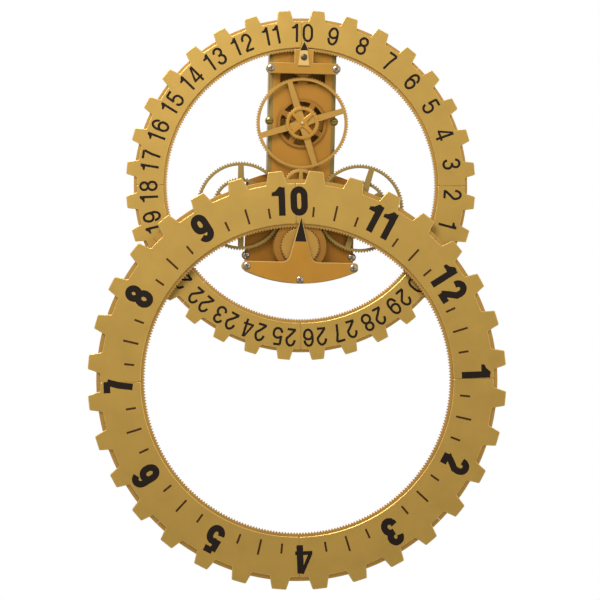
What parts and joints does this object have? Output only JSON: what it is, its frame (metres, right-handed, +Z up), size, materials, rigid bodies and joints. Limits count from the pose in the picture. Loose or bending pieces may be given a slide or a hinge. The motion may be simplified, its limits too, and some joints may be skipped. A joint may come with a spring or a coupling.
{
  "type": "wall clock",
  "caption": "Open gear wall clock: a turning hour ring and a turning date ring hang on a geared column, read at fixed pointers.",
  "frame": {"origin": "centre of the wall hook's keyhole, on the wall face of the column", "axes": "+X to the right seen from the front, +Y into the wall, +Z up"},
  "size_m": [0.5798, 0.091, 0.8024],
  "materials": {
    "dial_gold": "satin gold, very fine grain",
    "gear_gold": "satin gold, moulded teeth",
    "plate_gold": "satin gold, slightly warmer",
    "steel": "turned and polished",
    "screw_chrome": "polished pan heads",
    "dark_screw": "blackened",
    "movement_black": "fine moulded texture",
    "cell_jacket": "plain sleeve",
    "contact_metal": "nickel plated",
    "knob_black": "knurled"
  },
  "bodies": {
    "frame": {"rear_housing": "plate_gold", "body_front_plate": "plate_gold", "column_channel": "plate_gold", "column_front_plate": "plate_gold", "date_wheel_bearing_bar": "plate_gold", "idler_bearing_bar": "plate_gold", "movement_case": "movement_black", "battery_cells": "cell_jacket", "battery_contacts": "contact_metal", "upper_bridge": "plate_gold", "date_pointer": "plate_gold", "date_pointer_screw": "dark_screw", "bridge_pillars": "steel", "bridge_screws": "screw_chrome", "hour_pointer_plate": "plate_gold", "lower_pillars": "steel", "lower_plate_screws": "screw_chrome", "body_plate_screws": "screw_chrome", "column_side_screws": "screw_chrome"},
    "hour_ring": {"hour_ring_face_1": "dial_gold", "hour_ring_back_1": "gear_gold", "hour_ring_face_2": "dial_gold", "hour_ring_back_2": "gear_gold", "hour_ring_face_3": "dial_gold", "hour_ring_back_3": "gear_gold", "hour_ring_face_4": "dial_gold", "hour_ring_back_4": "gear_gold"},
    "date_ring": {"date_ring_face_1": "dial_gold", "date_ring_back_1": "gear_gold", "date_ring_face_2": "dial_gold", "date_ring_back_2": "gear_gold", "date_ring_face_3": "dial_gold", "date_ring_back_3": "gear_gold", "date_ring_face_4": "dial_gold", "date_ring_back_4": "gear_gold"},
    "hour_pinion_set": {"hour_pinion": "gear_gold", "hour_train_gear": "gear_gold", "hour_pinion_arbor": "steel"},
    "left_wheel_set": {"left_wheel": "gear_gold", "left_wheel_gear": "gear_gold", "left_wheel_arbor": "steel"},
    "right_wheel_set": {"right_wheel": "gear_gold", "right_wheel_gear": "gear_gold", "right_wheel_arbor": "steel"},
    "minute_set": {"minute_pinion": "gear_gold", "minute_shaft": "steel", "setting_knob": "knob_black"},
    "date_drive_set": {"date_drive_gear": "gear_gold", "date_drive_arbor": "steel"},
    "date_wheel_set": {"date_wheel": "gear_gold", "date_wheel_front_gear": "gear_gold", "date_wheel_rear_gear": "gear_gold", "date_wheel_arbor": "steel"},
    "date_idler_set": {"date_idler_gear": "gear_gold", "date_idler_arbor": "steel"},
    "cover": {"battery_cover": "movement_black"}
  },
  "joints": [
    {"name": "hour_ring_turn", "type": "hinge", "parent": "frame", "child": "hour_ring", "pos_m": [0, 0, -0.405], "axis": [0, -1, 0], "continuous": true},
    {"name": "date_ring_turn", "type": "hinge", "parent": "frame", "child": "date_ring", "pos_m": [0, 0, -0.135], "axis": [0, -1, 0], "continuous": true},
    {"name": "hour_pinion_turn", "type": "hinge", "parent": "frame", "child": "hour_pinion_set", "pos_m": [0, 0, -0.21988], "axis": [0, -1, 0], "continuous": true},
    {"name": "left_wheel_turn", "type": "hinge", "parent": "frame", "child": "left_wheel_set", "pos_m": [-0.0826, 0, -0.1652], "axis": [0, -1, 0], "continuous": true},
    {"name": "right_wheel_turn", "type": "hinge", "parent": "frame", "child": "right_wheel_set", "pos_m": [0.0826, 0, -0.1652], "axis": [0, -1, 0], "continuous": true},
    {"name": "minute_turn", "type": "hinge", "parent": "frame", "child": "minute_set", "pos_m": [0.02923, 0, -0.1795], "axis": [0, -1, 0], "continuous": true},
    {"name": "date_drive_turn", "type": "hinge", "parent": "frame", "child": "date_drive_set", "pos_m": [0, 0, -0.1362], "axis": [0, -1, 0], "continuous": true},
    {"name": "date_wheel_turn", "type": "hinge", "parent": "frame", "child": "date_wheel_set", "pos_m": [0, 0, -0.0486], "axis": [0, -1, 0], "continuous": true},
    {"name": "date_idler_turn", "type": "hinge", "parent": "frame", "child": "date_idler_set", "pos_m": [0, 0, 0.033], "axis": [0, -1, 0], "continuous": true},
    {"name": "battery_cover_slide", "type": "slide", "parent": "frame", "child": "cover", "axis": [0, 0, -1], "range_m": [0, 0.04]}
  ],
  "couplings": [
    {"joint": "hour_pinion_turn", "follows": "hour_ring_turn", "ratio": 8},
    {"joint": "left_wheel_turn", "follows": "hour_ring_turn", "ratio": -5},
    {"joint": "right_wheel_turn", "follows": "hour_ring_turn", "ratio": -5},
    {"joint": "minute_turn", "follows": "hour_ring_turn", "ratio": 12},
    {"joint": "date_ring_turn", "follows": "hour_ring_turn", "ratio": -0.016129},
    {"joint": "date_idler_turn", "follows": "hour_ring_turn", "ratio": -0.16667},
    {"joint": "date_wheel_turn", "follows": "hour_ring_turn", "ratio": 0.04717},
    {"joint": "date_drive_turn", "follows": "hour_ring_turn", "ratio": -0.125}
  ]
}
